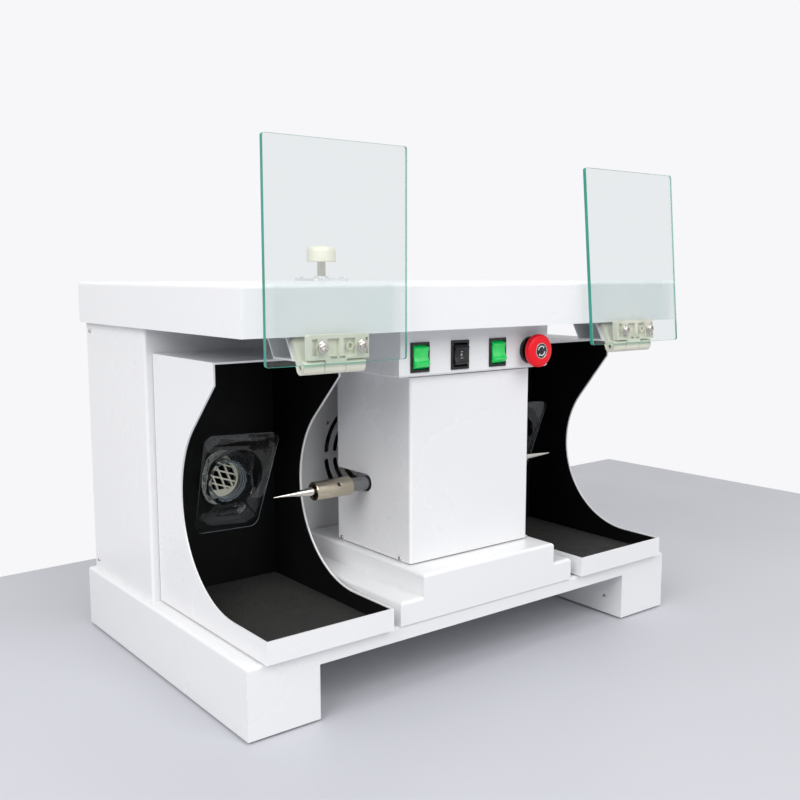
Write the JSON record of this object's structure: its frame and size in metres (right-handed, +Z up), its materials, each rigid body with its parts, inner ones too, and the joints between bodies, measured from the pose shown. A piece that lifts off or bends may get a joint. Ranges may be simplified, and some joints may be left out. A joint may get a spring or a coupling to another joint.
{
  "type": "dental polishing lathe",
  "caption": "Bench polishing lathe: double-ended spindle motor between two dust hoods with folding glass shields, switch box, suction cabinet and dust drawer.",
  "frame": {"origin": "middle of the overall footprint, on the surface that the rubber feet stand on", "axes": "+X to the operator's right along the spindle, -Y towards the operator, +Z up"},
  "size_m": [0.65, 0.4586, 0.5872],
  "materials": {
    "white_paint": "gloss white powder coat",
    "black_lining": "satin black",
    "mat_rubber": "matte, pebbled",
    "foot_rubber": "matte",
    "clear_plastic": "clear, polished",
    "cream_plastic": "satin moulded",
    "duct_plastic": "satin moulded",
    "galvanised_steel": "zinc coated",
    "filter_paper": "matte pleated paper",
    "motor_paint": "satin grey paint",
    "cast_aluminium": "as cast",
    "cast_iron": "painted casting",
    "laminated_steel": "varnished laminations and copper",
    "turned_steel": "fine turned",
    "nickel_plate": "satin nickel",
    "polished_steel": "polished",
    "black_steel": "black oxide",
    "shield_glass": "clear float glass with green edges",
    "black_plastic": "satin black",
    "lit_green": "clear green, lit",
    "stop_red": "gloss red",
    "plate_steel": "satin"
  },
  "bodies": {
    "machine_body": {"base_frame": "white_paint", "rubber_feet": "foot_rubber", "pedestal": "white_paint", "column_cover": "white_paint", "control_box": "white_paint", "rear_cabinet": "white_paint", "rear_panel": "white_paint", "deck_cover": "white_paint", "deck_plate": "galvanised_steel", "left_hood": "white_paint", "right_hood": "white_paint", "left_liner": "black_lining", "right_liner": "black_lining", "floor_mats": "mat_rubber", "left_funnel": "clear_plastic", "right_funnel": "clear_plastic", "duct_grilles": "cream_plastic", "left_duct": "duct_plastic", "right_duct": "duct_plastic", "filter_housing": "galvanised_steel", "filter_cartridge": "filter_paper", "fan_frame": "duct_plastic", "motor_housing": "motor_paint", "motor_stator": "laminated_steel", "left_end_bell": "cast_aluminium", "right_end_bell": "cast_aluminium", "motor_bearings": "turned_steel", "motor_cradle": "cast_iron", "run_capacitor": "galvanised_steel", "hinge_brackets": "white_paint", "left_fixed_leaf": "cream_plastic", "right_fixed_leaf": "cream_plastic", "hinge_pins": "turned_steel", "switch_bodies": "black_plastic", "stop_collar": "black_plastic", "shaker_plate": "plate_steel", "power_inlet": "black_plastic", "case_screws": "polished_steel"},
    "spindle": {"spindle_shaft": "turned_steel", "motor_rotor": "laminated_steel", "left_chuck": "nickel_plate", "right_chuck": "nickel_plate", "left_mandrel": "polished_steel", "right_mandrel": "polished_steel", "chuck_set_screws": "black_steel"},
    "impeller": {"fan_impeller": "duct_plastic"},
    "left_shield": {"left_glass_leaf": "cream_plastic", "left_glass": "shield_glass", "left_glass_screws": "polished_steel"},
    "right_shield": {"right_glass_leaf": "cream_plastic", "right_glass": "shield_glass", "right_glass_screws": "polished_steel"},
    "power_switch": {"power_rocker": "lit_green"},
    "speed_switch": {"speed_rocker": "black_plastic"},
    "suction_switch": {"suction_rocker": "lit_green"},
    "stop_stem": {"stop_plunger": "black_plastic"},
    "stop_button": {"stop_head": "stop_red"},
    "shaker": {"shaker_rod": "polished_steel", "shaker_knob": "cream_plastic"},
    "drawer": {"dust_drawer": "white_paint"}
  },
  "joints": [
    {"name": "motor_spin", "type": "hinge", "parent": "machine_body", "child": "spindle", "pos_m": [0, -0.0827, 0.212], "axis": [1, 0, 0], "continuous": true},
    {"name": "fan_spin", "type": "hinge", "parent": "machine_body", "child": "impeller", "pos_m": [0, 0.0533, 0.2245], "axis": [0, 1, 0], "continuous": true},
    {"name": "left_shield_fold", "type": "hinge", "parent": "machine_body", "child": "left_shield", "pos_m": [-0.228, -0.2137, 0.37], "axis": [1, 0, 0], "range_deg": [-8, 115]},
    {"name": "right_shield_fold", "type": "hinge", "parent": "machine_body", "child": "right_shield", "pos_m": [0.228, -0.2137, 0.37], "axis": [1, 0, 0], "range_deg": [-3, 120]},
    {"name": "power_switch_rock", "type": "hinge", "parent": "machine_body", "child": "power_switch", "pos_m": [-0.08703, -0.1717, 0.36873], "axis": [1, 0, 0], "range_deg": [0, 16]},
    {"name": "speed_switch_rock", "type": "hinge", "parent": "machine_body", "child": "speed_switch", "pos_m": [-0.02802, -0.1717, 0.36873], "axis": [1, 0, 0], "range_deg": [-8, 8]},
    {"name": "suction_switch_rock", "type": "hinge", "parent": "machine_body", "child": "suction_switch", "pos_m": [0.03098, -0.1717, 0.36873], "axis": [1, 0, 0], "range_deg": [0, 16]},
    {"name": "stop_press", "type": "slide", "parent": "machine_body", "child": "stop_stem", "axis": [0, 1, 0], "range_m": [0, 0.005], "stiffness_N_per_m": 500},
    {"name": "stop_twist", "type": "hinge", "parent": "stop_stem", "child": "stop_button", "pos_m": [0.085, -0.1927, 0.36873], "axis": [0, 1, 0], "range_deg": [0, 45], "stiffness_Nm_per_rad": 0.05},
    {"name": "shaker_lift", "type": "slide", "parent": "machine_body", "child": "shaker", "axis": [0, 0, 1], "range_m": [0, 0.025]},
    {"name": "drawer_slide", "type": "slide", "parent": "machine_body", "child": "drawer", "axis": [0, 1, 0], "range_m": [0, 0.11]}
  ]
}
